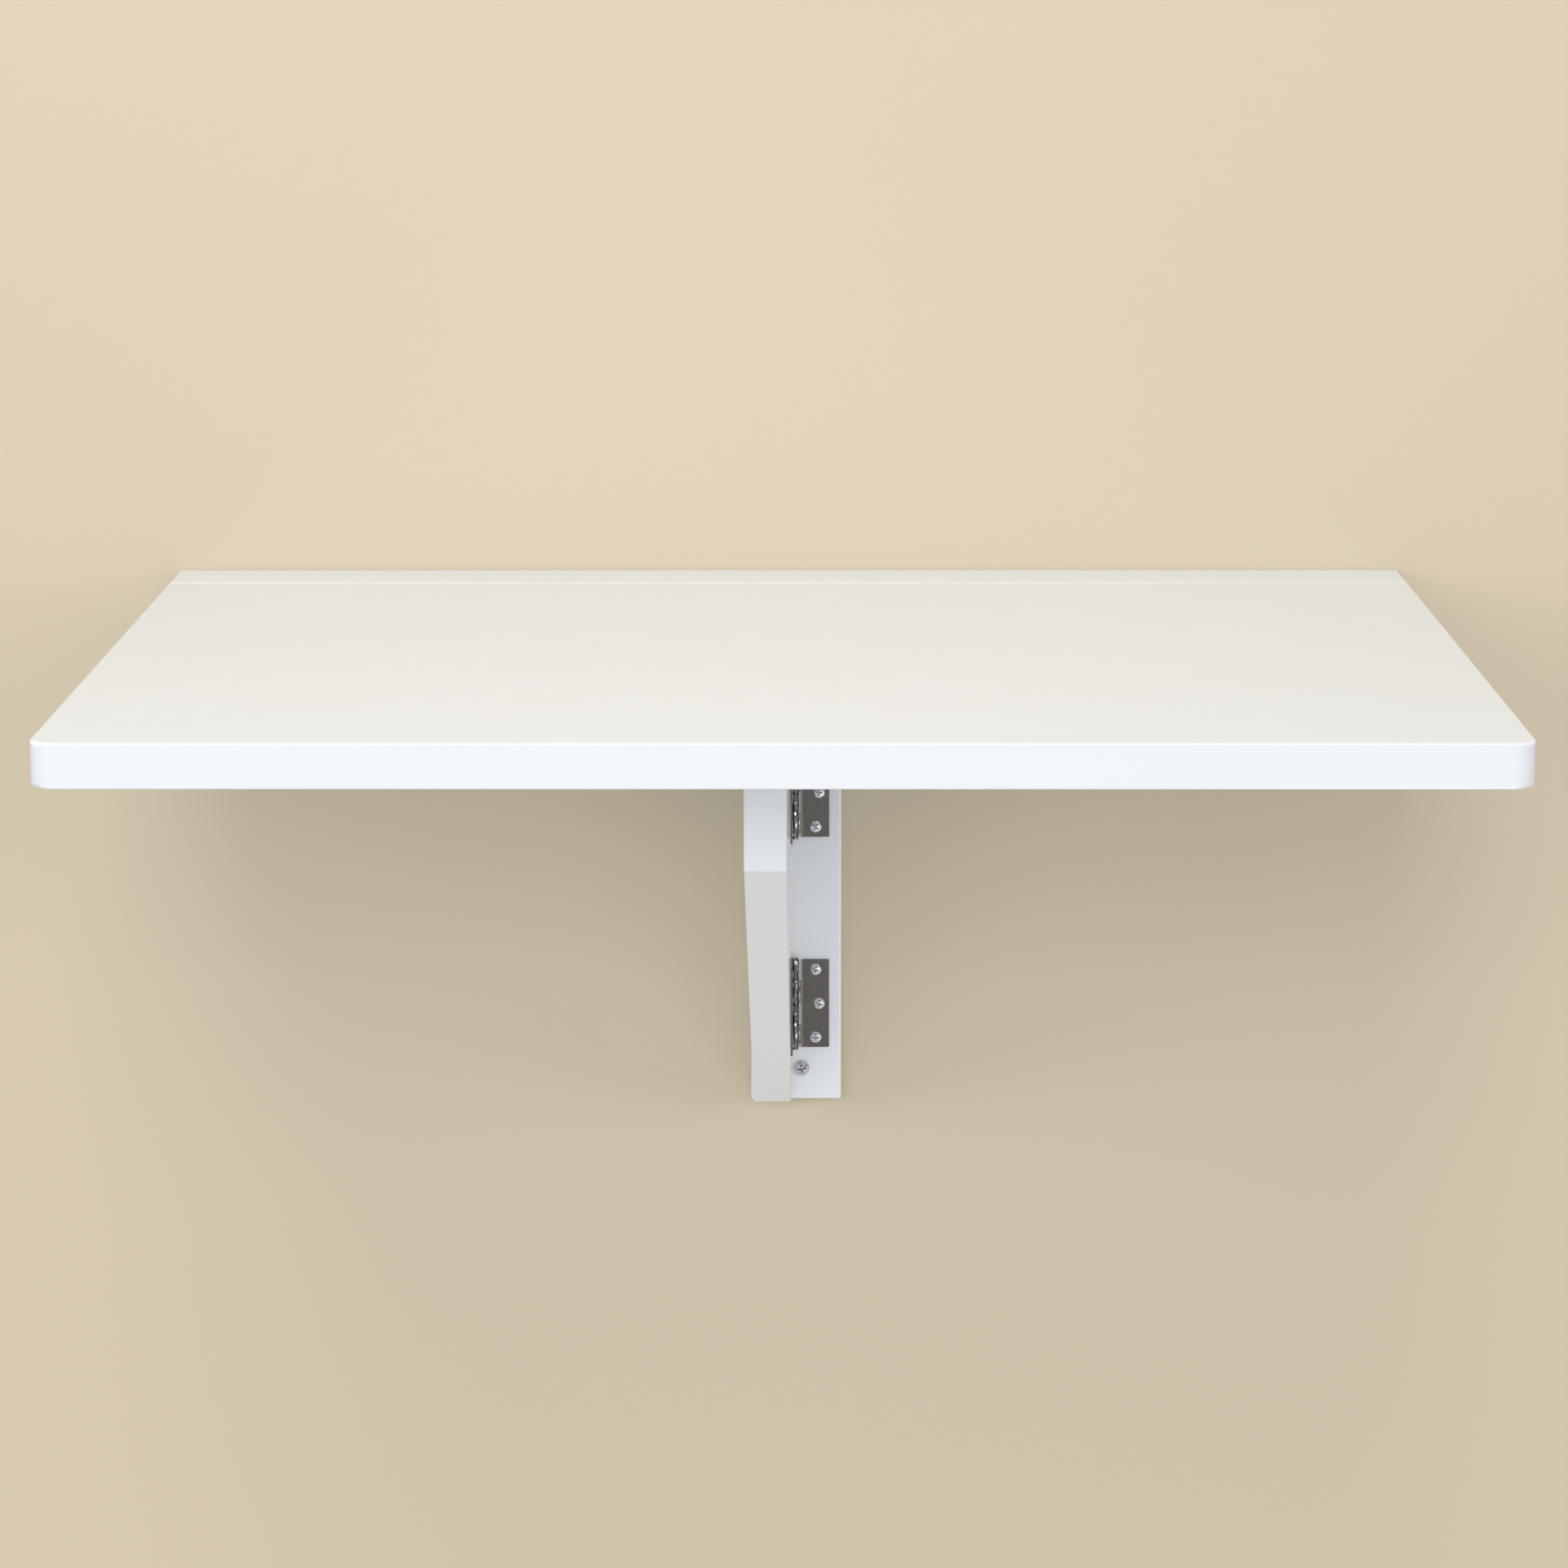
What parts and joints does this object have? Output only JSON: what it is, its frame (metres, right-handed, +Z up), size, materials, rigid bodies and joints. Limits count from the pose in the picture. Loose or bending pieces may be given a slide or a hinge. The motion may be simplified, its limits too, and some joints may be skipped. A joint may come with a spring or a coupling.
{
  "type": "wall mounted drop leaf table",
  "caption": "White tabletop whose leaf is hinged to a fixed strip on a wall frame; a tapered bracket swings out on butt hinges to hold the leaf up and folds flat against the wall.",
  "frame": {"origin": "middle of the rear strip's back face, which lies against the wall", "axes": "+X to the right as seen from the room, -Y out from the wall into the room, +Y into the wall, +Z up"},
  "size_m": [0.8, 0.64, 0.354],
  "materials": {
    "white_board": "white lacquer, high gloss",
    "hinge_steel": "dark, rolled sheet",
    "zinc_screw": "bright zinc",
    "beech": "bare beech"
  },
  "bodies": {
    "wall_unit": {"rear_strip": "white_board", "wall_batten": "white_board", "wall_post": "white_board", "strip_dowels": "beech", "post_dowels": "beech", "batten_screws": "zinc_screw", "foot_screw": "zinc_screw", "upper_post_plate": "hinge_steel", "lower_post_plate": "hinge_steel", "upper_hinge_pin": "hinge_steel", "lower_hinge_pin": "hinge_steel", "post_hinge_screws": "zinc_screw", "left_strip_plate": "hinge_steel", "right_strip_plate": "hinge_steel", "left_leaf_pin": "hinge_steel", "right_leaf_pin": "hinge_steel", "strip_hinge_screws": "zinc_screw"},
    "bracket": {"bracket_board": "white_board", "upper_bracket_plate": "hinge_steel", "lower_bracket_plate": "hinge_steel", "bracket_hinge_screws": "zinc_screw"},
    "leaf": {"table_leaf": "white_board", "left_leaf_plate": "hinge_steel", "right_leaf_plate": "hinge_steel", "leaf_hinge_screws": "zinc_screw"}
  },
  "joints": [
    {"name": "bracket_swing", "type": "hinge", "parent": "wall_unit", "child": "bracket", "pos_m": [0.0044, -0.0228, -0.20385], "axis": [0, 0, 1], "range_deg": [0, 90]},
    {"name": "leaf_fold", "type": "hinge", "parent": "wall_unit", "child": "leaf", "pos_m": [0, -0.053, -0.0153], "axis": [1, 0, 0], "range_deg": [-1.5, 0]}
  ]
}
